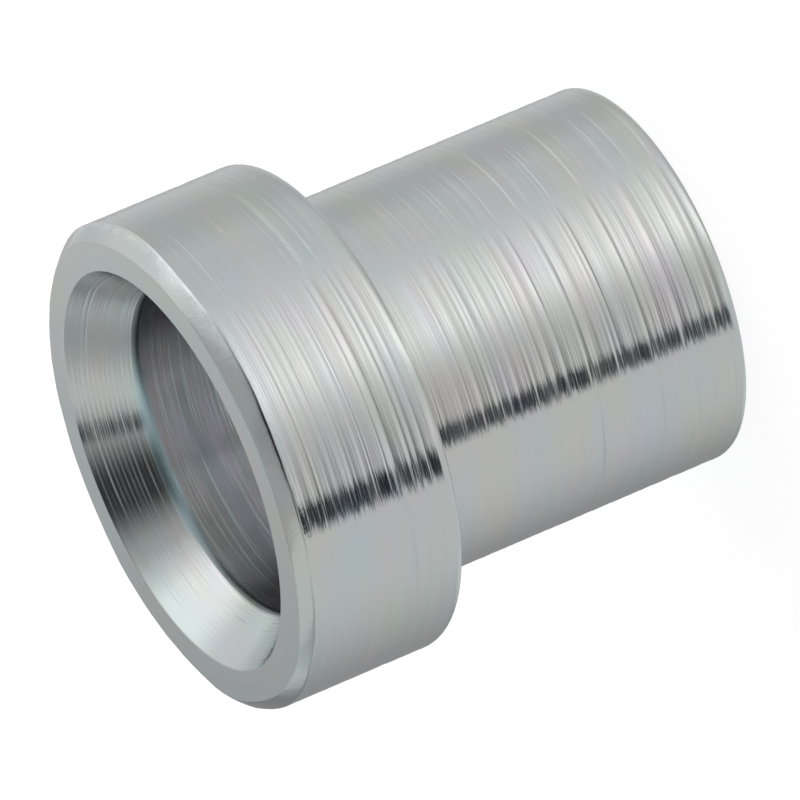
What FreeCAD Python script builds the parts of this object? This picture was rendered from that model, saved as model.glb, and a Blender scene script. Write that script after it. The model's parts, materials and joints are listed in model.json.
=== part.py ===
import FreeCAD, Part
import math
import os
import Sketcher

# A flare sleeve for tube fittings, turned from bar in one piece: a thick head, a thinner tail,
# a through bore for the tube and a conical seat in the head's mouth that backs the tube's flare.
# The sleeve stands on its tail. The origin is the centre of the tail's end face and +Z leaves
# through the mouth. Lengths are in millimetres and angles in degrees.

DRIVING_SIZES = (
    ("overall_length", 10.2),
    ("head_length", 3.45),
    ("head_diameter", 9.6),
    ("body_diameter", 7.4),
    ("bore_diameter", 6.45),
    ("mouth_diameter", 7.9),
    ("seat_angle", 66),
    ("throat_round", 0.4),
    ("rim_round", 0.32),
    ("head_back_round", 0.25),
    ("shoulder_round", 0.12),
    ("tail_round", 0.2),
    ("tail_bore_chamfer", 0.08),
)

SHEET = "sizes"
NODE = "sleeve"
# How a sketch numbers a line's two ends, a circle's centre and its own origin.
START, END, CENTRE = range(1, 4)
ORIGIN_POINT = (-1, START)

# What bounds each edge's round, and the largest share of it that one edge may take.
TAIL_WALL = f"({SHEET}.body_diameter - {SHEET}.bore_diameter) / 2"
HEAD_STEP = f"({SHEET}.head_diameter - {SHEET}.body_diameter) / 2"
MOUTH_RIM = f"({SHEET}.head_diameter - {SHEET}.mouth_diameter) / 2"
SEAT_SPREAD = f"({SHEET}.mouth_diameter - {SHEET}.bore_diameter)"
LARGEST_SHARE = 0.45

FULL_TURN = 360
SAME_PLACE = 1e-4


def size_sheet(doc):
    """Each driving size in its own named cell."""
    sheet = doc.addObject("Spreadsheet::Sheet", SHEET)
    for row, (alias, value) in enumerate(DRIVING_SIZES, start=1):
        sheet.set(f"A{row}", alias)
        sheet.set(f"B{row}", str(value))
        sheet.setAlias(f"B{row}", alias)
    doc.recompute()
    return sheet


def origin_plane(body, role):
    return next(plane for plane in body.Origin.OriginFeatures if plane.Role == role)


def new_sketch(body, name, role):
    sketch = body.newObject("Sketcher::SketchObject", name)
    sketch.AttachmentSupport = (origin_plane(body, role), [""])
    sketch.MapMode = "FlatFace"
    return sketch


def closed_outline(sketch, corners):
    """Straight edges from corner to corner and back, joined end to start."""
    points = [FreeCAD.Vector(across, up, 0) for across, up in corners]
    following = points[1:] + points[:1]
    edges = [sketch.addGeometry(Part.LineSegment(*ends)) for ends in zip(points, following)]
    for edge, after in zip(edges, edges[1:] + edges[:1]):
        sketch.addConstraint(Sketcher.Constraint("Coincident", edge, END, after, START))
    return edges


def dimension(sketch, name, formula, kind, places, value):
    """Add a dimension between places of the sketch, name it and tie it to the sheet."""
    index = sketch.addConstraint(Sketcher.Constraint(kind, *places, value))
    sketch.renameConstraint(index, name)
    sketch.setExpression(f"Constraints.{name}", f"{SHEET}.{formula}")


def half_blank(body, sheet):
    """Half of the blank's section: the axis, the tail, the head's back face and the head."""
    tail_radius = sheet.body_diameter / 2
    head_radius = sheet.head_diameter / 2
    shoulder = sheet.overall_length - sheet.head_length
    corners = (
        (0, 0),
        (tail_radius, 0),
        (tail_radius, shoulder),
        (head_radius, shoulder),
        (head_radius, sheet.overall_length),
        (0, sheet.overall_length),
    )
    sketch = new_sketch(body, "blank_section", "XZ_Plane")
    end_face, tail_side, back_face, head_side, front_face, axis = closed_outline(sketch, corners)
    sketch.addConstraint(Sketcher.Constraint("Coincident", end_face, START, *ORIGIN_POINT))
    for flat in (end_face, back_face, front_face):
        sketch.addConstraint(Sketcher.Constraint("Horizontal", flat))
    for upright in (tail_side, head_side, axis):
        sketch.addConstraint(Sketcher.Constraint("Vertical", upright))
    across_tail = (end_face, START, end_face, END)
    across_head = (front_face, END, front_face, START)
    up_head = (head_side, START, head_side, END)
    up_axis = (axis, END, axis, START)
    dimension(sketch, "tail_radius", "body_diameter / 2", "DistanceX", across_tail, tail_radius)
    dimension(sketch, "head_radius", "head_diameter / 2", "DistanceX", across_head, head_radius)
    dimension(sketch, "head_length", "head_length", "DistanceY", up_head, sheet.head_length)
    dimension(sketch, "length", "overall_length", "DistanceY", up_axis, sheet.overall_length)
    return sketch


def half_seat(body, sheet):
    """Half of the seat's cone: its mouth on the front face, its point on the axis."""
    mouth_radius = sheet.mouth_diameter / 2
    half_angle = math.radians(sheet.seat_angle / 2)
    mouth_height = sheet.overall_length
    corners = (
        (0, mouth_height),
        (0, mouth_height - mouth_radius / math.tan(half_angle)),
        (mouth_radius, mouth_height),
    )
    sketch = new_sketch(body, "seat_section", "XZ_Plane")
    axis, cone_side, mouth = closed_outline(sketch, corners)
    sketch.addConstraint(Sketcher.Constraint("Vertical", *ORIGIN_POINT, axis, START))
    sketch.addConstraint(Sketcher.Constraint("Vertical", axis))
    sketch.addConstraint(Sketcher.Constraint("Horizontal", mouth))
    up_axis = (*ORIGIN_POINT, axis, START)
    across_mouth = (mouth, END, mouth, START)
    side_to_axis = (cone_side, START, axis, END)
    dimension(sketch, "mouth_height", "overall_length", "DistanceY", up_axis, mouth_height)
    dimension(sketch, "mouth_radius", "mouth_diameter / 2", "DistanceX", across_mouth, mouth_radius)
    dimension(sketch, "half_angle", "seat_angle / 2", "Angle", side_to_axis, half_angle)
    return sketch


def bore_circle(body, sheet):
    sketch = new_sketch(body, "bore_section", "XY_Plane")
    bore_radius = sheet.bore_diameter / 2
    centre = FreeCAD.Vector(0, 0, 0)
    upwards = FreeCAD.Vector(0, 0, 1)
    circle = sketch.addGeometry(Part.Circle(centre, upwards, bore_radius))
    sketch.addConstraint(Sketcher.Constraint("Coincident", circle, CENTRE, *ORIGIN_POINT))
    dimension(sketch, "bore_radius", "bore_diameter / 2", "Radius", (circle,), bore_radius)
    return sketch


def ring_edge(feature, radius, height):
    """The round edge of this radius about the axis, at this height."""
    for number, edge in enumerate(feature.Shape.Edges, start=1):
        curve = edge.Curve
        if not isinstance(curve, Part.Circle):
            continue
        if abs(curve.Radius - radius) < SAME_PLACE and abs(curve.Center.z - height) < SAME_PLACE:
            return f"Edge{number}"
    raise ValueError(f"no round edge of radius {radius} at height {height}")


def edge_break(body, base, name, kind, size, wall, radius, height):
    """Round or chamfer one ring-shaped edge by the named size, within the wall beside it."""
    feature = body.newObject(f"PartDesign::{kind}", name)
    feature.Base = (base, [ring_edge(base, radius, height)])
    reach = {"Fillet": "Radius", "Chamfer": "Size"}[kind]
    feature.setExpression(reach, f"min({SHEET}.{size}; {wall} * {LARGEST_SHARE})")
    body.Document.recompute()
    return feature


def turned_sleeve(doc, sheet):
    body = doc.addObject("PartDesign::Body", NODE)
    body.Label = NODE
    tail_radius = sheet.body_diameter / 2
    head_radius = sheet.head_diameter / 2
    bore_radius = sheet.bore_diameter / 2
    shoulder_height = sheet.overall_length - sheet.head_length
    half_angle = math.radians(sheet.seat_angle / 2)
    throat_depth = (sheet.mouth_diameter - sheet.bore_diameter) / 2 / math.tan(half_angle)
    throat_height = sheet.overall_length - throat_depth

    blank = body.newObject("PartDesign::Revolution", "turned_blank")
    blank.Profile = half_blank(body, sheet)
    blank.ReferenceAxis = (blank.Profile[0], ["V_Axis"])
    blank.Angle = FULL_TURN
    doc.recompute()

    bore = body.newObject("PartDesign::Pocket", "tube_bore")
    bore.Profile = bore_circle(body, sheet)
    bore.Reversed = True
    bore.Type = "ThroughAll"
    doc.recompute()

    seat = body.newObject("PartDesign::Groove", "flare_seat")
    seat.Profile = half_seat(body, sheet)
    seat.ReferenceAxis = (seat.Profile[0], ["V_Axis"])
    seat.Angle = FULL_TURN
    doc.recompute()

    step = seat
    for name, kind, size, wall, radius, height in (
        ("throat_blend", "Fillet", "throat_round", SEAT_SPREAD, bore_radius, throat_height),
        ("front_rim", "Fillet", "rim_round", MOUTH_RIM, head_radius, sheet.overall_length),
        ("head_back_edge", "Fillet", "head_back_round", HEAD_STEP, head_radius, shoulder_height),
        ("shoulder_corner", "Fillet", "shoulder_round", HEAD_STEP, tail_radius, shoulder_height),
        ("tail_edge", "Fillet", "tail_round", TAIL_WALL, tail_radius, 0),
        ("tail_bore_lead", "Chamfer", "tail_bore_chamfer", TAIL_WALL, bore_radius, 0),
    ):
        step = edge_break(body, step, name, kind, size, wall, radius, height)
    return body


def check(doc, parts):
    for item in doc.Objects:
        if "Invalid" in item.State or "Error" in item.State:
            raise RuntimeError(f"{item.Name} did not build")
    for part in parts:
        if part.Shape.isNull() or not part.Shape.isValid():
            raise RuntimeError(f"{part.Label} has no valid shape")


document = FreeCAD.newDocument("flare_tube_sleeve")
sizes = size_sheet(document)
pieces = [turned_sleeve(document, sizes)]
check(document, pieces)
os.makedirs("parts", exist_ok=True)
for piece in pieces:
    piece.Shape.exportStep(f"parts/{piece.Label}.step")
    print(piece.Label, "volume", round(piece.Shape.Volume, 3), "faces", len(piece.Shape.Faces))
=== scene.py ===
import json
import math
import random
from collections import namedtuple

import bpy
from mathutils import Matrix, Vector


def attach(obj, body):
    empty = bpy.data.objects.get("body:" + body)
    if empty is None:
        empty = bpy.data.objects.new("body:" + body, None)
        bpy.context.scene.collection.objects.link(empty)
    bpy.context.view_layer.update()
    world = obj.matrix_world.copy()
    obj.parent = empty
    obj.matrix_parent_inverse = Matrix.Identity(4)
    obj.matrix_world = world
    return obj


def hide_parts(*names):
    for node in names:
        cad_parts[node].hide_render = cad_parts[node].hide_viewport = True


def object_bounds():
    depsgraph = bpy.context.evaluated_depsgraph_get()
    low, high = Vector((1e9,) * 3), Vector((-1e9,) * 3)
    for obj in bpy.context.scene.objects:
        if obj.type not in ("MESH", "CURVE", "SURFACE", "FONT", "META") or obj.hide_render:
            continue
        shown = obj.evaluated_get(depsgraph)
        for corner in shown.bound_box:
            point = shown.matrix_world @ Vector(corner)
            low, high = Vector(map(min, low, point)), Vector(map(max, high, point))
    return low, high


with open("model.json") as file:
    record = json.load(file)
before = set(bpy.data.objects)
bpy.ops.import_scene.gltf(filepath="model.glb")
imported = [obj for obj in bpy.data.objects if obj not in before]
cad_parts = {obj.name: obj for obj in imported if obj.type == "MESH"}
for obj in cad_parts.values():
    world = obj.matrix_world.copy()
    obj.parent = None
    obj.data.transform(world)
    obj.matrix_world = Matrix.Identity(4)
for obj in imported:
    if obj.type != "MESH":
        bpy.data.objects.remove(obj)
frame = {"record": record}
cad_low, cad_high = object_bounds()

# A turned and zinc plated flare sleeve, standing on its tail with its mouth up. Everything is in
# metres, in the frame's own axes: the bore runs along Z and the tail's end face is at Z = 0.

MM = 0.001
MICRON = 0.001 * MM
SEED = 4107

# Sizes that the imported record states.
mounts = {mount["name"]: mount for mount in frame["record"]["mounts"]}
LENGTH = cad_high.z - cad_low.z
SHOULDER_HEIGHT = mounts["nut_shoulder"]["pos_m"][2]
BORE_RADIUS = mounts["tube_bore"]["dims"]["r_mm"] * MM
TAIL_RADIUS = mounts["tail_outside"]["dims"]["r_mm"] * MM
HEAD_RADIUS = mounts["head_outside"]["dims"]["r_mm"] * MM

# The edges and the seat, as the construction has them.
MOUTH_RADIUS = 3.95 * MM
SEAT_HALF_ANGLE = math.radians(33)
THROAT_HEIGHT = LENGTH - (MOUTH_RADIUS - BORE_RADIUS) / math.tan(SEAT_HALF_ANGLE)
THROAT_ROUND = 0.4 * MM
HEAD_BACK_ROUND = 0.25 * MM
SHOULDER_ROUND = 0.12 * MM
TAIL_ROUND = 0.2 * MM
TAIL_BORE_CHAMFER = 0.08 * MM

# The real rim is broken by hand: nearly flat at 45 degrees between two crisp rounds, and uneven
# round the axis. It stays inside the construction's plain round. Each wave of the unevenness has
# how often it repeats in one turn, its share of the rim's size and its phase. The section moves
# with the rim up to RIM_REACH from the head's corner.
RIM_SIZE = 0.29 * MM
RIM_CREASE = 0.08 * MM
RIM_FLAT_DEG = (42, 49)
RIM_REACH = 0.6 * MM
RIM_WAVES = (
    (1, 0.15, 0.0),
    (2, 0.03, 1.9),
    (3, 0.05, 0.6),
    (5, 0.04, 2.4),
    (7, 0.08, -0.44),
    (9, 0.03, 4.0),
    (14, 0.02, 1.1),
)
RIM_RAGGED = 0.03
# The mouth's edge between seat and face is a little ragged, and shaded crisply up to this far.
MOUTH_RAGGED = 2.5 * MICRON
MOUTH_KEPT_CRISP = 8 * MICRON
# The blend of seat and bore has its full round only on the side away from the camera: where the
# middle of that is round the axis, how far to either side it stays full and where it has become
# crisp, in degrees, and the crisp round.
THROAT_FULL_AT = 188
THROAT_FULL_REACH = (18, 58)
THROAT_CRISP = 0.14 * MM

# How finely the surface is divided round the axis and along the section.
TURN_STEPS = 96
RING_STEP = 12 * MICRON
SEAT_STEP = 11 * MICRON
FACE_STEP = 40 * MICRON
BORE_STEP = 250 * MICRON
THROAT_STEPS = 16
EDGE_STEPS = 10
CREASE_STEPS = 6


def arc(centre, radius, start_deg, end_deg, steps):
    """Points (distance from the axis, height) along a round of the section."""
    points = []
    for step in range(steps + 1):
        angle = math.radians(start_deg + (end_deg - start_deg) * step / steps)
        points.append((centre[0] + radius * math.cos(angle), centre[1] + radius * math.sin(angle)))
    return points


def straight(start, end, step):
    """Points between two ends of a straight stretch, without the ends themselves."""
    count = max(1, round(math.dist(start, end) / step))
    return [
        (start[0] + (end[0] - start[0]) * i / count, start[1] + (end[1] - start[1]) * i / count)
        for i in range(1, count)
    ]


def smooth(value):
    """From 0 to 1 without a corner."""
    share = min(1, max(0, value))
    return share * share * (3 - 2 * share)


def degrees_apart(one, other):
    """How far apart two directions round the axis are."""
    return abs((one - other + 180) % 360 - 180)


def throat_path(size):
    """The blend of bore and seat with a round of this size, between the full round's two ends."""
    half = SEAT_HALF_ANGLE
    left = (THROAT_ROUND - size) * math.tan(half / 2)
    foot = THROAT_HEIGHT - THROAT_ROUND * math.tan(half / 2)
    total = 2 * left + size * half
    points = []
    for step in range(THROAT_STEPS + 1):
        gone = total * step / THROAT_STEPS
        turned = min(half, max(0, (gone - left) / size))
        beyond = max(0, gone - left - size * half)
        across = BORE_RADIUS + size * (1 - math.cos(turned)) + beyond * math.sin(half)
        up = foot + min(gone, left) + size * math.sin(turned) + beyond * math.cos(half)
        points.append((across, up))
    return points


def throat_size(turn_angle):
    """The blend's round at this angle round the axis."""
    away = degrees_apart(math.degrees(turn_angle), THROAT_FULL_AT)
    near, far = THROAT_FULL_REACH
    return THROAT_ROUND + (THROAT_CRISP - THROAT_ROUND) * smooth((away - near) / (far - near))


def broken_rim():
    """The rim from the face to the head's side: a crisp round, a nearly flat stretch, a round."""
    low, high = (math.radians(angle) for angle in RIM_FLAT_DEG)
    # The flat stretch's long radius follows from the rim's size and what the creases take of it.
    creases = RIM_CREASE * (1 - math.cos(low) + math.cos(high))
    flat = (RIM_SIZE - creases) / (math.cos(low) - math.cos(high))
    inner_centre = (HEAD_RADIUS - RIM_SIZE, LENGTH - RIM_CREASE)
    inner = arc(inner_centre, RIM_CREASE, 90, RIM_FLAT_DEG[1], CREASE_STEPS)
    shift = RIM_CREASE - flat
    flat_centre = (inner_centre[0] + shift * math.cos(high), inner_centre[1] + shift * math.sin(high))
    middle = arc(flat_centre, flat, RIM_FLAT_DEG[1], RIM_FLAT_DEG[0], CREASE_STEPS)
    outer_centre = (HEAD_RADIUS - RIM_CREASE, middle[-1][1] - RIM_CREASE * math.sin(low))
    outer = arc(outer_centre, RIM_CREASE, RIM_FLAT_DEG[0], 0, CREASE_STEPS)
    return inner + middle[1:] + outer[1:]


def section():
    """The closed section as stretches of (distance from the axis, height), from the bore's tail
    end up through the seat, over the rim and down the outside."""
    blend = throat_path(THROAT_ROUND)
    mouth_edge = (MOUTH_RADIUS, LENGTH)
    mouth_beside = (MOUTH_RADIUS + MOUTH_KEPT_CRISP, LENGTH)
    rim = broken_rim()
    back_centre = (HEAD_RADIUS - HEAD_BACK_ROUND, SHOULDER_HEIGHT + HEAD_BACK_ROUND)
    head_back = arc(back_centre, HEAD_BACK_ROUND, 0, -90, EDGE_STEPS)
    corner_centre = (TAIL_RADIUS + SHOULDER_ROUND, SHOULDER_HEIGHT - SHOULDER_ROUND)
    corner = arc(corner_centre, SHOULDER_ROUND, 90, 180, CREASE_STEPS)
    tail_centre = (TAIL_RADIUS - TAIL_ROUND, TAIL_ROUND)
    tail = arc(tail_centre, TAIL_ROUND, 0, -90, EDGE_STEPS)
    bore_foot = (BORE_RADIUS, TAIL_BORE_CHAMFER)
    tail_inner = (BORE_RADIUS + TAIL_BORE_CHAMFER, 0)
    return {
        "bore": [tail_inner, bore_foot] + straight(bore_foot, blend[0], BORE_STEP),
        "throat": blend,
        "seat": straight(blend[-1], mouth_edge, SEAT_STEP) + [mouth_edge],
        "face": [mouth_beside] + straight(mouth_beside, rim[0], FACE_STEP),
        "rim": rim,
        "head": straight(rim[-1], head_back[0], RING_STEP),
        "head_back": head_back,
        "shoulder": straight(head_back[-1], corner[0], FACE_STEP),
        "corner": corner,
        "tail": straight(corner[-1], tail[0], RING_STEP),
        "tail_edge": tail,
        "tail_end": straight(tail[-1], tail_inner, FACE_STEP),
    }


# The tool's marks on the turned stretches. A kind of groove has its average distance apart and its
# narrowest and widest width in microns, its steepest flank, where its middle may be round the axis
# and how far round it may reach to either side of that, in degrees. A feed is even: it has its
# pitch in microns, its flank, and where its middle is and how far it reaches, in degrees.
Grooves = namedtuple("Grooves", "apart widths steepest middles reaches")
Feed = namedtuple("Feed", "pitch flank middle reach")
ANYWHERE = (0, 360)
GROOVES = {
    "seat": (
        Grooves(150, (30, 60), 3.6, ANYWHERE, (40, 400)),
        Grooves(260, (120, 320), 2.4, ANYWHERE, (60, 500)),
        Grooves(170, (50, 80), 20.0, (100, 118), (14, 32)),
    ),
    "head": (
        Grooves(60, (36, 60), 4.6, ANYWHERE, (15, 200)),
        Grooves(48, (60, 150), 3.8, ANYWHERE, (15, 300)),
        Grooves(420, (150, 320), 2.6, ANYWHERE, (90, 500)),
        Grooves(300, (30, 50), 4.8, ANYWHERE, (20, 300)),
    ),
    "tail": (
        Grooves(60, (36, 60), 4.6, ANYWHERE, (15, 200)),
        Grooves(48, (60, 170), 4.4, ANYWHERE, (15, 300)),
        Grooves(340, (150, 340), 3.2, ANYWHERE, (90, 500)),
        Grooves(240, (30, 50), 5.2, ANYWHERE, (20, 300)),
    ),
}
FEEDS = {"seat": (Feed(93, 8.5, 163, 26), Feed(93, 6.0, 236, 36)), "head": (), "tail": ()}
# Each groove's flank is the stated one times a draw between these two.
GROOVE_SPREAD = (0.3, 1)
FEED_SPREAD = (0.45, 1.15)
# A groove runs out over the last quarter of its reach, and all marks before a stretch's ends.
GROOVE_RUNS_OUT = 0.25
MARKS_FADE = 0.15 * MM
# Slow waves along each stretch: their pitches in microns, each to be multiplied by a draw between
# the next two numbers, and how deep the waves are on average.
WAVE_PITCHES = (900, 430, 260, 170, 120)
WAVE_SPREAD = (0.8, 1.25)
WAVE_DEPTHS = {"seat": 0.05 * MICRON, "head": 0.14 * MICRON, "tail": 0.17 * MICRON}


def flank_depth(width, steepness_deg):
    """How deep a groove of this width is when its flanks get as steep as this."""
    return math.tan(math.radians(steepness_deg)) * width / math.pi


def cut_groove(depths, step, place, width, deepest, middle_deg, reach_deg):
    """Cut one smooth-sided groove into the depths, as far round as it reaches."""
    first = max(0, math.ceil((place - width / 2) / step))
    last = min(len(depths) - 1, math.floor((place + width / 2) / step))
    for turn in range(TURN_STEPS):
        away = degrees_apart(360 * turn / TURN_STEPS, middle_deg)
        share = smooth((1 - away / reach_deg) / GROOVE_RUNS_OUT)
        if share == 0:
            continue
        for i in range(first, last + 1):
            across = 0.5 + 0.5 * math.cos(math.tau * (i * step - place) / width)
            depths[i][turn] += deepest * share * across


def tool_marks(name, count, step, draw):
    """How far below the nominal surface each point of a turned stretch lies, in metres."""
    depths = [[0.0] * TURN_STEPS for point in range(count)]
    for plain_pitch in WAVE_PITCHES:
        phase = draw.uniform(0, math.tau)
        pitch = plain_pitch * draw.uniform(*WAVE_SPREAD) * MICRON
        for i, row in enumerate(depths):
            depth = WAVE_DEPTHS[name] * (1 + math.sin(math.tau * i * step / pitch + phase))
            row[:] = [value + depth for value in row]
    for feed in FEEDS[name]:
        width = feed.pitch * MICRON
        for turn in range(int(count * step / width) + 2):
            deepest = flank_depth(width, feed.flank * draw.uniform(*FEED_SPREAD))
            cut_groove(depths, step, turn * width, width, deepest, feed.middle, feed.reach)
    for kind in GROOVES[name]:
        place = 0.0
        while place < count * step:
            place += draw.expovariate(1 / kind.apart) * MICRON
            width = draw.uniform(*kind.widths) * MICRON
            deepest = flank_depth(width, kind.steepest * draw.uniform(*GROOVE_SPREAD))
            middle = draw.uniform(*kind.middles)
            reach = draw.uniform(*kind.reaches)
            cut_groove(depths, step, place, width, deepest, middle, reach)
    for i, row in enumerate(depths):
        share = smooth(i * step / MARKS_FADE) * smooth((count - 1 - i) * step / MARKS_FADE)
        row[:] = [value * share for value in row]
    return depths


def rim_unevenness(turn_angle):
    """How many times its plain size the rim has at this angle round the axis."""
    return 1 + sum(share * math.sin(times * turn_angle + phase) for times, share, phase in RIM_WAVES)


def near_rim(across, up, size):
    """A point of the section, moved as the rim beside it is larger or smaller than plain."""
    inward, down = HEAD_RADIUS - across, LENGTH - up
    away = max(inward, down)
    if away >= RIM_REACH or away <= 0:
        return across, up
    if away <= RIM_SIZE:
        moved = away * size
    else:
        beyond = (away - RIM_SIZE) / (RIM_REACH - RIM_SIZE)
        moved = RIM_SIZE * size + (RIM_REACH - RIM_SIZE * size) * beyond
    return HEAD_RADIUS - inward * moved / away, LENGTH - down * moved / away


def marked_section():
    """Rows of the section: for each point of it, (distance from the axis, height) all round."""
    draw = random.Random(SEED)
    inward = {
        "seat": (math.cos(SEAT_HALF_ANGLE), -math.sin(SEAT_HALF_ANGLE)),
        "head": (-1, 0),
        "tail": (-1, 0),
    }
    angles = [math.tau * turn / TURN_STEPS for turn in range(TURN_STEPS)]
    sizes = [rim_unevenness(angle) + draw.uniform(-1, 1) * RIM_RAGGED for angle in angles]
    throats = [throat_path(throat_size(angle)) for angle in angles]
    rows = []
    for name, points in section().items():
        depths = [[0.0] * TURN_STEPS for point in points]
        across, up = inward.get(name, (0, 0))
        if name in GROOVES:
            depths = tool_marks(name, len(points), math.dist(points[0], points[1]), draw)
        for index, ((r, z), cuts) in enumerate(zip(points, depths)):
            placed = [near_rim(r, z, size) for size in sizes]
            if name == "throat":
                placed = [throat[index] for throat in throats]
            if (r, z) == (MOUTH_RADIUS, LENGTH):
                placed = [(r + draw.uniform(-1, 1) * MOUTH_RAGGED, z) for angle in angles]
            rows.append([(r + across * cut, z + up * cut) for (r, z), cut in zip(placed, cuts)])
    return rows


def sleeve_mesh():
    """The section's rows joined into a closed skin of four-sided faces."""
    rows = marked_section()
    vertices = []
    for row in rows:
        for turn, (across, up) in enumerate(row):
            angle = math.tau * turn / TURN_STEPS
            vertices.append((across * math.cos(angle), across * math.sin(angle), up))
    faces = []
    for row in range(len(rows)):
        this, after = row * TURN_STEPS, (row + 1) % len(rows) * TURN_STEPS
        for turn in range(TURN_STEPS):
            beside = (turn + 1) % TURN_STEPS
            faces.append((this + turn, after + turn, after + beside, this + beside))
    mesh = bpy.data.meshes.new("sleeve_dressed")
    mesh.from_pydata(vertices, [], faces)
    mesh.validate()
    mesh.update()
    for polygon in mesh.polygons:
        polygon.use_smooth = True
    return mesh


PLAIN_WHITE = (1, 1, 1, 1)


class Nodes:
    """Short calls for building one node tree."""

    def __init__(self, tree):
        self.tree = tree
        tree.nodes.clear()

    def add(self, kind, **settings):
        node = self.tree.nodes.new(kind)
        for name, value in settings.items():
            setattr(node, name, value)
        return node

    def feed(self, socket, value):
        """Link the socket to another node's, or set it to a plain value."""
        if isinstance(value, bpy.types.NodeSocket):
            self.tree.links.new(value, socket)
        else:
            socket.default_value = value

    def feed_each(self, sockets, values):
        for socket, value in zip(sockets, values):
            self.feed(socket, value)

    def math(self, operation, *values):
        node = self.add("ShaderNodeMath", operation=operation)
        self.feed_each(node.inputs, values)
        return node.outputs[0]

    def ramp(self, value, low, high, low_out=0.0, high_out=1.0, eased=True):
        """From one level to the other while the value goes from low to high."""
        kind = "SMOOTHSTEP" if eased else "LINEAR"
        node = self.add("ShaderNodeMapRange", interpolation_type=kind, clamp=True)
        self.feed_each(node.inputs, (value, low, high, low_out, high_out))
        return node.outputs[0]

    # A mix node holds its sockets for numbers, vectors and colours one after the other, so each
    # kind has places of its own.
    def mix(self, share, first, second):
        """A plain number between two numbers."""
        node = self.add("ShaderNodeMix", data_type="FLOAT")
        self.feed_each((node.inputs[0], node.inputs[2], node.inputs[3]), (share, first, second))
        return node.outputs[0]

    def mix_colour(self, share, first, second, blend="MIX"):
        node = self.add("ShaderNodeMix", data_type="RGBA", blend_type=blend)
        self.feed_each((node.inputs[0], node.inputs[6], node.inputs[7]), (share, first, second))
        return node.outputs[2]

    def show(self, shader, kind="ShaderNodeOutputMaterial"):
        """Put the finished shader out as the tree's surface."""
        self.feed(self.add(kind).inputs["Surface"], shader.outputs[0])


def within(nodes, value, size, fade):
    """1 while the value is within this size about 0, fading to 0 across each edge."""
    away = nodes.math("ABSOLUTE", value)
    return nodes.ramp(away, size / 2 - fade / 2, size / 2 + fade / 2, 1.0, 0.0)


Place = namedtuple("Place", "x y outwards height")


def surface_place(nodes):
    """Where a point of the sleeve is; outwards is its distance from the axis."""
    position = nodes.add("ShaderNodeTexCoord").outputs["Object"]
    parts = nodes.add("ShaderNodeSeparateXYZ")
    nodes.feed(parts.inputs[0], position)
    x, y, height = parts.outputs
    squares = nodes.math("MULTIPLY_ADD", y, y, nodes.math("MULTIPLY", x, x))
    return Place(x, y, nodes.math("SQRT", squares), height)


# Noise drawn out along the turning rings: how fast it changes round the axis and from ring to
# ring, per metre, the shift that makes each a pattern of its own, and its detail and roughness.
Grain = namedtuple("Grain", "round_scale ring_scale shift detail roughness")
GREEN_OR_PINK = Grain(300, 1100, 7.0, 2.0, 0.5)
STRAW_OR_BLUE = Grain(300, 1100, 19.0, 2.0, 0.5)
BORE_BLOTCHES = Grain(500, 1500, 31.0, 3.0, 0.6)
BORE_SCRATCHES = Grain(300, 30000, 43.0, 2.0, 0.5)
FINE_RINGS = Grain(420, 24000, 0.0, 3.0, 0.6)
BROAD_RINGS = Grain(160, 7000, 3.1, 2.0, 0.5)
ROUGH_PATCHES = Grain(400, 3000, 5.0, 3.0, 0.5)
# Noise that isn't drawn out, with how fast it changes per metre.
SPECKLE_DETAIL = 3.0
SPECKLE_ROUGHNESS = 0.6
CHIP_GLINT_SPECKLES = 3000
WORN_SPECKLES = 4200


def noise(nodes, vector, detail, roughness):
    node = nodes.add("ShaderNodeTexNoise", noise_dimensions="3D")
    names = ("Vector", "Scale", "Detail", "Roughness")
    nodes.feed_each([node.inputs[name] for name in names], (vector, 1.0, detail, roughness))
    return node.outputs[0]


def drawn_out(nodes, place, grain):
    """The grain's noise; its rings count on along the axis and across the faces."""
    ring = nodes.math("ADD", place.outwards, place.height)
    joined = nodes.add("ShaderNodeCombineXYZ")
    nodes.feed(joined.inputs[0], nodes.math("MULTIPLY", place.x, grain.round_scale))
    nodes.feed(joined.inputs[1], nodes.math("MULTIPLY", place.y, grain.round_scale))
    nodes.feed(joined.inputs[2], nodes.math("MULTIPLY_ADD", ring, grain.ring_scale, grain.shift))
    return noise(nodes, joined.outputs[0], grain.detail, grain.roughness)


def speckles(nodes, place, scale):
    joined = nodes.add("ShaderNodeCombineXYZ")
    for socket, part in zip(joined.inputs, (place.x, place.y, place.height)):
        nodes.feed(socket, nodes.math("MULTIPLY", part, scale))
    return noise(nodes, joined.outputs[0], SPECKLE_DETAIL, SPECKLE_ROUGHNESS)


# Clear zinc shows faint colours, in patches drawn out along the rings.
GREEN_TINT = (0.585, 0.69, 0.66, 1)
PINK_TINT = (0.675, 0.65, 0.665, 1)
STRAW_TINT = (0.645, 0.68, 0.63, 1)
BLUE_TINT = (0.60, 0.66, 0.715, 1)
PATCH_LEVELS = (0.3, 0.7)


def plating_colour(nodes, place):
    one = nodes.ramp(drawn_out(nodes, place, GREEN_OR_PINK), *PATCH_LEVELS)
    other = nodes.ramp(drawn_out(nodes, place, STRAW_OR_BLUE), *PATCH_LEVELS)
    first = nodes.mix_colour(one, GREEN_TINT, PINK_TINT)
    second = nodes.mix_colour(other, STRAW_TINT, BLUE_TINT)
    return nodes.mix_colour(0.5, first, second)


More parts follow.
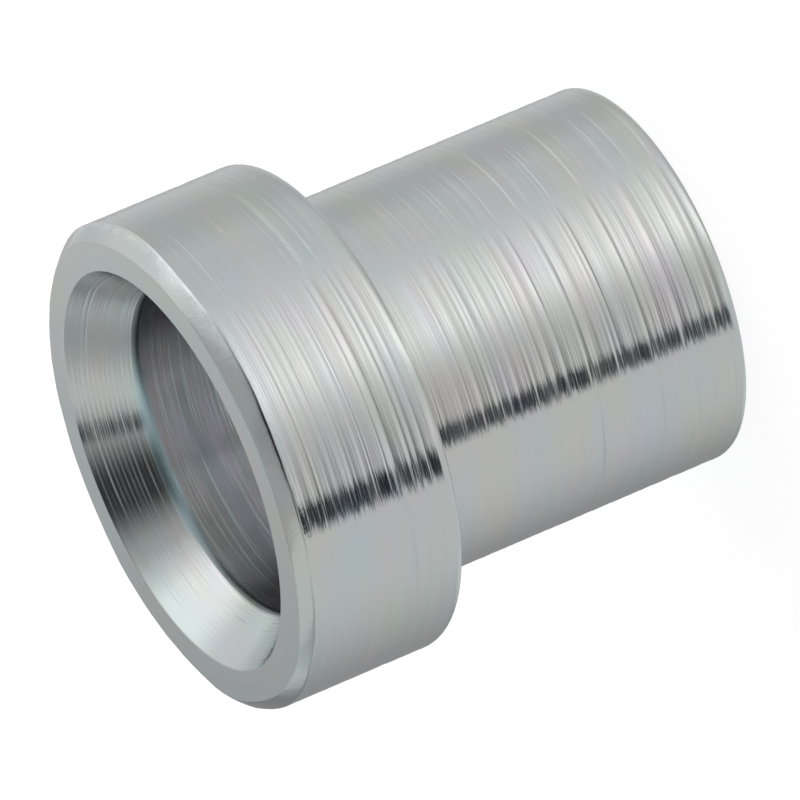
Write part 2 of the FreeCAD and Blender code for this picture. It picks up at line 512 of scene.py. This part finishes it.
# The soft edges of the regions: an edge lies between two distances from the axis, and a foot
# between two heights.
BORE_EDGE = (BORE_RADIUS + 0.03 * MM, BORE_RADIUS + 0.12 * MM)
THROAT_EDGE = (BORE_RADIUS + 0.08 * MM, BORE_RADIUS + 0.11 * MM)
FACE_FOOT = (LENGTH - 0.03 * MM, LENGTH - 0.01 * MM)
RIM_EDGE = (HEAD_RADIUS - 0.36 * MM, HEAD_RADIUS - 0.26 * MM)
RIM_FOOT = (LENGTH - 0.46 * MM, LENGTH - 0.36 * MM)
CHIP_GLINTS_EDGE = (HEAD_RADIUS - 0.14 * MM, HEAD_RADIUS - 0.05 * MM)
CHIP_GLINTS_FOOT = (LENGTH - 0.30 * MM, LENGTH - 0.25 * MM)
HEAD_EDGE = (HEAD_RADIUS - 0.06 * MM, HEAD_RADIUS - 0.02 * MM)


def in_bore(nodes, place):
    """1 on the bore's wall, 0 from the seat outwards."""
    return nodes.ramp(place.outwards, *BORE_EDGE, 1.0, 0.0)


def on_rim(nodes, place):
    """1 on the broken rim, 0 away from it."""
    near_side = nodes.ramp(place.outwards, *RIM_EDGE)
    near_top = nodes.ramp(place.height, *RIM_FOOT)
    return nodes.math("MULTIPLY", near_side, near_top)


# What the plating's colour is multiplied by. The bore is blotched and scratched. The throat has a
# teal tint, brightened as painted light where light falls on it, and painted shade beside that. The
# mouth's face has painted shade towards -Y and painted light towards +Y. The rim's outer edge has
# worn speckles painted bright as glints towards +Y. The walls on the camera's side have a painted
# warm tint of the light they mirror.
BORE_GAINS = ((0.90, 0.92, 0.90, 1), (1.22, 1.08, 1.17, 1))
SCRATCH_GAIN = (1.45, 1.45, 1.40, 1)
THROAT_PAINTED_SHADE_AND_LIGHT = ((0.34, 0.36, 0.36, 1), (1.17, 1.42, 1.60, 1))
FACE_PAINTED_SHADE_AND_LIGHT = ((0.74, 0.755, 0.755, 1), (1.12, 1.12, 1.11, 1))
CHIP_GLINT_GAIN = (1.15, 1.17, 1.16, 1)
FRONT_PAINTED_WARMTH = (1.03, 0.985, 0.975, 1)
# Blotches, scratches and the rim's painted glints on worn speckles come in between two levels of
# their noise, and the glints also along a stretch of Y. The front's painted warm tint comes in
# between two cosines of the angle round the axis.
BLOTCH_LEVELS = (0.35, 0.65)
SCRATCH_LEVELS = (0.53, 0.66)
CHIP_GLINT_LEVELS = (0.42, 0.68)
CHIP_GLINTS_SIDE = (0.0, 2.5 * MM)
FRONT_COSINES = (0.84, 0.97)
# The face's painted light grows along Y, and a little along X as well.
FACE_LEAN = 0.2
# The throat's painted light falls over a stretch of Y, by its middle, size and fade. The band of
# painted shade and light round it has its size and fade along the axis where it isn't lit and where
# it is.
LIT_MIDDLE = 0.25 * MM
LIT_STRETCH = (3.0 * MM, 2.0 * MM)
UNLIT_BAND = (0.13 * MM, 0.05 * MM)
LIT_BAND = (0.24 * MM, 0.06 * MM)


def bore_gain(nodes, place):
    blotches = nodes.ramp(drawn_out(nodes, place, BORE_BLOTCHES), *BLOTCH_LEVELS)
    scratches = nodes.ramp(drawn_out(nodes, place, BORE_SCRATCHES), *SCRATCH_LEVELS)
    return nodes.mix_colour(scratches, nodes.mix_colour(blotches, *BORE_GAINS), SCRATCH_GAIN)


# Painted shade towards -Y and painted light towards +Y on the mouth's face.
def face_painted_shade_and_light(nodes, place):
    sideways = nodes.math("MULTIPLY_ADD", place.x, FACE_LEAN, place.y)
    brighter = nodes.ramp(sideways, -HEAD_RADIUS, HEAD_RADIUS, eased=False)
    return nodes.mix_colour(brighter, *FACE_PAINTED_SHADE_AND_LIGHT)


def on_throat(nodes, place, lit):
    """1 on the band of painted shade and light round the throat, 0 away from it."""
    from_throat = nodes.math("SUBTRACT", place.height, THROAT_HEIGHT)
    narrow = within(nodes, from_throat, *UNLIT_BAND)
    wide = within(nodes, from_throat, *LIT_BAND)
    inside = nodes.ramp(place.outwards, *THROAT_EDGE, 1.0, 0.0)
    return nodes.math("MULTIPLY", inside, nodes.mix(lit, narrow, wide))


def on_chip_glints(nodes, place):
    """1 where the rim's outer edge has worn speckles painted bright as glints, towards +Y."""
    at_edge = nodes.ramp(place.outwards, *CHIP_GLINTS_EDGE)
    near_top = nodes.ramp(place.height, *CHIP_GLINTS_FOOT)
    edge = nodes.math("MULTIPLY", at_edge, near_top)
    worn_and_glinting = nodes.ramp(speckles(nodes, place, CHIP_GLINT_SPECKLES), *CHIP_GLINT_LEVELS)
    sideways = nodes.ramp(place.y, *CHIP_GLINTS_SIDE)
    return nodes.math("MULTIPLY", edge, nodes.math("MULTIPLY", worn_and_glinting, sideways))


def local_gain(nodes, place):
    """How the plating differs from its plain colour from region to region, painted light and shade
    too.
    """
    # A painted warm tint of the light that the walls mirror on the camera's side.
    on_front = nodes.ramp(nodes.math("DIVIDE", place.x, place.outwards), *FRONT_COSINES)
    gain = nodes.mix_colour(on_front, PLAIN_WHITE, FRONT_PAINTED_WARMTH)
    gain = nodes.mix_colour(in_bore(nodes, place), gain, bore_gain(nodes, place))
    # Painted light on the throat's teal tint over a stretch of Y, and painted shade beside it.
    lit = within(nodes, nodes.math("SUBTRACT", place.y, LIT_MIDDLE), *LIT_STRETCH)
    throat_painted_light = nodes.mix_colour(lit, *THROAT_PAINTED_SHADE_AND_LIGHT)
    gain = nodes.mix_colour(on_throat(nodes, place, lit), gain, throat_painted_light)
    # Worn speckles on the rim's outer edge, painted bright as glints towards +Y.
    gain = nodes.mix_colour(on_chip_glints(nodes, place), gain, CHIP_GLINT_GAIN)
    # The mouth's face gets its painted shade and light.
    on_face = nodes.ramp(place.height, *FACE_FOOT)
    return nodes.mix_colour(on_face, gain, face_painted_shade_and_light(nodes, place))


BUMP_HEIGHT = 5 * MICRON
FINE_SHARE = 0.7
WORN_SHARE = 0.9


def turning_bump(nodes, place):
    """The finest rings, in arcs shorter than the grooves of the mesh, and the rim's worn patches."""
    fine = drawn_out(nodes, place, FINE_RINGS)
    broad = drawn_out(nodes, place, BROAD_RINGS)
    rings = nodes.math("MULTIPLY_ADD", fine, FINE_SHARE, broad)
    share = nodes.math("MULTIPLY", on_rim(nodes, place), WORN_SHARE)
    worn = nodes.math("MULTIPLY", speckles(nodes, place, WORN_SPECKLES), share)
    bump = nodes.add("ShaderNodeBump")
    nodes.feed(bump.inputs["Strength"], 1.0)
    nodes.feed(bump.inputs["Distance"], BUMP_HEIGHT)
    nodes.feed(bump.inputs["Height"], nodes.math("ADD", rings, worn))
    return bump.outputs[0]


ROUGH_LEVELS = (0.3, 0.7)
ROUGHNESS = (0.1, 0.14)
BORE_ROUGHNESS = 0.22
HEAD_SMOOTHER_BY = 0.8


def plating_roughness(nodes, place):
    """Uneven along the walls, smoother on the head and duller in the bore."""
    rough = nodes.ramp(drawn_out(nodes, place, ROUGH_PATCHES), *ROUGH_LEVELS, *ROUGHNESS)
    on_head = nodes.ramp(place.outwards, *HEAD_EDGE)
    rough = nodes.math("MULTIPLY", rough, nodes.mix(on_head, 1.0, HEAD_SMOOTHER_BY))
    return nodes.mix(in_bore(nodes, place), rough, BORE_ROUGHNESS)


QUARTER_TURN = 0.25


def zinc_plated_steel():
    """Clear zinc over fine turning rings: each ring spreads its glints along the axis."""
    material = bpy.data.materials.new("zinc_plated_steel")
    material.use_nodes = True
    nodes = Nodes(material.node_tree)
    place = surface_place(nodes)
    plating = plating_colour(nodes, place)
    gain = local_gain(nodes, place)
    tangent = nodes.add("ShaderNodeTangent", direction_type="RADIAL", axis="Z")
    shader = nodes.add("ShaderNodeBsdfPrincipled")
    nodes.feed(shader.inputs["Base Color"], nodes.mix_colour(1.0, plating, gain, "MULTIPLY"))
    nodes.feed(shader.inputs["Metallic"], 1.0)
    nodes.feed(shader.inputs["Roughness"], plating_roughness(nodes, place))
    nodes.feed(shader.inputs["Anisotropic"], 1.0)
    nodes.feed(shader.inputs["Anisotropic Rotation"], QUARTER_TURN)
    nodes.feed(shader.inputs["Tangent"], tangent.outputs[0])
    nodes.feed(shader.inputs["Normal"], turning_bump(nodes, place))
    nodes.show(shader)
    return material


def make_sleeve():
    sleeve = bpy.data.objects.new("sleeve_dressed", sleeve_mesh())
    bpy.context.scene.collection.objects.link(sleeve)
    sleeve.data.materials.append(zinc_plated_steel())
    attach(sleeve, "root")
    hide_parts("sleeve")


def seen_or_mirrored(nodes):
    """1 for what the camera sees, straight or in metal or through glass, and 0 for plain light."""
    path = nodes.add("ShaderNodeLightPath").outputs
    mirrored = nodes.math("MAXIMUM", path["Is Glossy Ray"], path["Is Transmission Ray"])
    return nodes.math("MAXIMUM", path["Is Camera Ray"], mirrored)


FLOOR_REACH = 4.0
FLOOR_PAINT = (0.45, 0.45, 0.45, 1)
FLOOR_GLOW = 0.80


def white_floor():
    """Pale paint that keeps the shadow, and white for what the camera sees or metal mirrors."""
    material = bpy.data.materials.new("white_floor")
    material.use_nodes = True
    nodes = Nodes(material.node_tree)
    paint = nodes.add("ShaderNodeBsdfDiffuse")
    nodes.feed(paint.inputs["Color"], FLOOR_PAINT)
    glow = nodes.add("ShaderNodeEmission")
    nodes.feed(glow.inputs["Color"], PLAIN_WHITE)
    nodes.feed(glow.inputs["Strength"], nodes.math("MULTIPLY", seen_or_mirrored(nodes), FLOOR_GLOW))
    both = nodes.add("ShaderNodeAddShader")
    nodes.feed_each(both.inputs, (paint.outputs[0], glow.outputs[0]))
    nodes.show(both)
    return material


def make_floor():
    mesh = bpy.data.meshes.new("floor")
    reach = FLOOR_REACH
    corners = [(-reach, -reach, 0), (reach, -reach, 0), (reach, reach, 0), (-reach, reach, 0)]
    mesh.from_pydata(corners, [], [(0, 1, 2, 3)])
    mesh.materials.append(white_floor())
    floor = bpy.data.objects.new("floor", mesh)
    bpy.context.scene.collection.objects.link(floor)
    # The photographed sleeve hung clear of its background, so its sides mirror the far studio and
    # not the floor beside them.
    floor.visible_glossy = False


# The studio is a white background with cards and a window hung round the sleeve, which the camera
# doesn't see but the polished metal shows. Azimuth 0 is the camera's side and grows towards +Y;
# elevation is above the horizon. Each card hangs in front of the ones before it: its middle
# (azimuth, elevation), its size, how far its edges fade, all in degrees, and its level. A leaning
# card's middle moves sideways by its lean for each degree up, and a tinted card gives its light
# that colour. The background has one level where it is seen or mirrored, and another as a light.
SEEN_LEVEL = 1.0
LIGHT_LEVEL = 0.8
BLUISH = (0.75, 1.0, 1.25, 1)
Card = namedtuple("Card", "name middle size fade level lean tint", defaults=(0.0, None))
CARDS = (
    Card("front", (31, 0), (68, 200), (46, 10), 0.72),
    Card("front_low", (31, -59), (66, 78), (44, 30), 1.40),
    Card("front_left", (-31, 0), (46, 200), (60, 10), 0.235),
    Card("front_left_low", (-31, -58), (46, 76), (60, 20), 0.83),
    Card("right", (128, 0), (164, 200), (84, 10), 0.66),
    Card("left", (-110, 0), (128, 200), (4, 10), 0.67),
    Card("left_back", (-176, -12.5), (100, 43), (90, 12), 0.30),
    Card("right_back", (148, -34), (38, 104), (6, 10), 0.63),
    Card("right_far", (174, -30), (22, 110), (8, 10), 0.51),
    Card("right_low", (122, -50), (32, 76), (30, 10), 0.55),
    Card("right_high", (112, 24), (80, 70), (44, 12), 0.80),
    Card("right_beyond", (150, 6), (40, 22), (20, 10), 0.74),
    Card("window", (86, 17.5), (46, 51), (26, 8), 1.18),
    Card("back", (180, 29), (56, 56), (40, 20), 0.57),
    Card("left_low", (-144, 1), (68, 20), (30, 12), 0.26),
    Card("left_high", (-102, 13), (48, 44), (48, 6), 0.41),
    Card("ceiling", (0, 90.5), (720, 61), (1, 6), 0.46),
    Card("ceiling_front", (0, 61), (100, 20), (30, 6), 0.46),
    Card("camera_above", (0, 71), (36, 16), (20, 8), 0.39),
    Card("camera_side", (-3.7, 28), (106.6, 64), (12, 8), 0.48),
    Card("camera", (-2, 28), (56, 64), (40, 8), 0.04),
    Card("dark_strip", (-42.7, -20.5), (13, 20), (1, 5), 0.02, lean=0.5, tint=BLUISH),
    Card("dark_strip_high", (-43.5, 41), (13, 17), (1, 3), 0.02, tint=BLUISH),
)


def card_share(nodes, card, azimuth, elevation):
    """1 where the card hangs, fading to 0 across its edges."""
    sideways = nodes.math("WRAP", nodes.math("SUBTRACT", azimuth, card.middle[0]), 180.0, -180.0)
    upwards = nodes.math("SUBTRACT", elevation, card.middle[1])
    leaned = nodes.math("MULTIPLY_ADD", upwards, -card.lean, sideways)
    across = within(nodes, leaned, card.size[0], card.fade[0])
    return nodes.math("MULTIPLY", across, within(nodes, upwards, card.size[1], card.fade[1]))


def make_world():
    world = bpy.data.worlds.new("studio")
    bpy.context.scene.world = world
    world.use_nodes = True
    nodes = Nodes(world.node_tree)
    parts = nodes.add("ShaderNodeSeparateXYZ")
    nodes.feed(parts.inputs[0], nodes.add("ShaderNodeTexCoord").outputs["Generated"])
    x, y, z = parts.outputs
    azimuth = nodes.math("DEGREES", nodes.math("ARCTAN2", y, x))
    elevation = nodes.math("DEGREES", nodes.math("ARCSINE", z))
    behind_cards = nodes.mix(seen_or_mirrored(nodes), LIGHT_LEVEL, SEEN_LEVEL)
    level = behind_cards
    tint = PLAIN_WHITE
    for card in CARDS:
        share = card_share(nodes, card, azimuth, elevation)
        level = nodes.mix(share, level, card.level)
        if card.tint:
            tint = nodes.mix_colour(share, tint, card.tint)
    camera_ray = nodes.add("ShaderNodeLightPath").outputs["Is Camera Ray"]
    background = nodes.add("ShaderNodeBackground")
    nodes.feed(background.inputs["Color"], nodes.mix_colour(camera_ray, tint, PLAIN_WHITE))
    nodes.feed(background.inputs["Strength"], nodes.mix(camera_ray, level, behind_cards))
    nodes.show(background, "ShaderNodeOutputWorld")


# The camera looks from +X and above, and leans so that the sleeve's axis runs from lower left to
# upper right. Its long lens stands far back, so the sleeve hardly narrows with distance.
CAMERA_ELEVATION = math.radians(21.1158)
CAMERA_LEAN = math.radians(-112.9223)
CAMERA_DISTANCE = 80 * HEAD_RADIUS
CAMERA_CLIP = (0.01, 20.0)
SENSOR_WIDTH = 36.0
IMAGE_WIDTH = 800
PIXELS_PER_HEAD_RADIUS = 260.116
FRAME_SHIFT = (-0.0157, 0.0893)


def make_camera():
    away = Vector((math.cos(CAMERA_ELEVATION), 0, math.sin(CAMERA_ELEVATION)))
    level_right = Vector((0, 1, 0))
    level_up = away.cross(level_right)
    right = math.cos(CAMERA_LEAN) * level_right + math.sin(CAMERA_LEAN) * level_up
    up = away.cross(right)
    target = Vector((0, 0, LENGTH - HEAD_RADIUS))
    place = target + away * CAMERA_DISTANCE
    place -= (FRAME_SHIFT[0] * right + FRAME_SHIFT[1] * up) * HEAD_RADIUS
    data = bpy.data.cameras.new("camera")
    data.sensor_width = SENSOR_WIDTH
    focal_pixels = PIXELS_PER_HEAD_RADIUS * CAMERA_DISTANCE / HEAD_RADIUS
    data.lens = focal_pixels * SENSOR_WIDTH / IMAGE_WIDTH
    data.clip_start, data.clip_end = CAMERA_CLIP
    camera = bpy.data.objects.new("camera", data)
    bpy.context.scene.collection.objects.link(camera)
    turned = Matrix((right, up, away)).transposed().to_4x4()
    camera.matrix_world = Matrix.Translation(place) @ turned
    bpy.context.scene.camera = camera


make_sleeve()
make_floor()
make_world()
make_camera()
bpy.context.scene.view_settings.view_transform = "Standard"
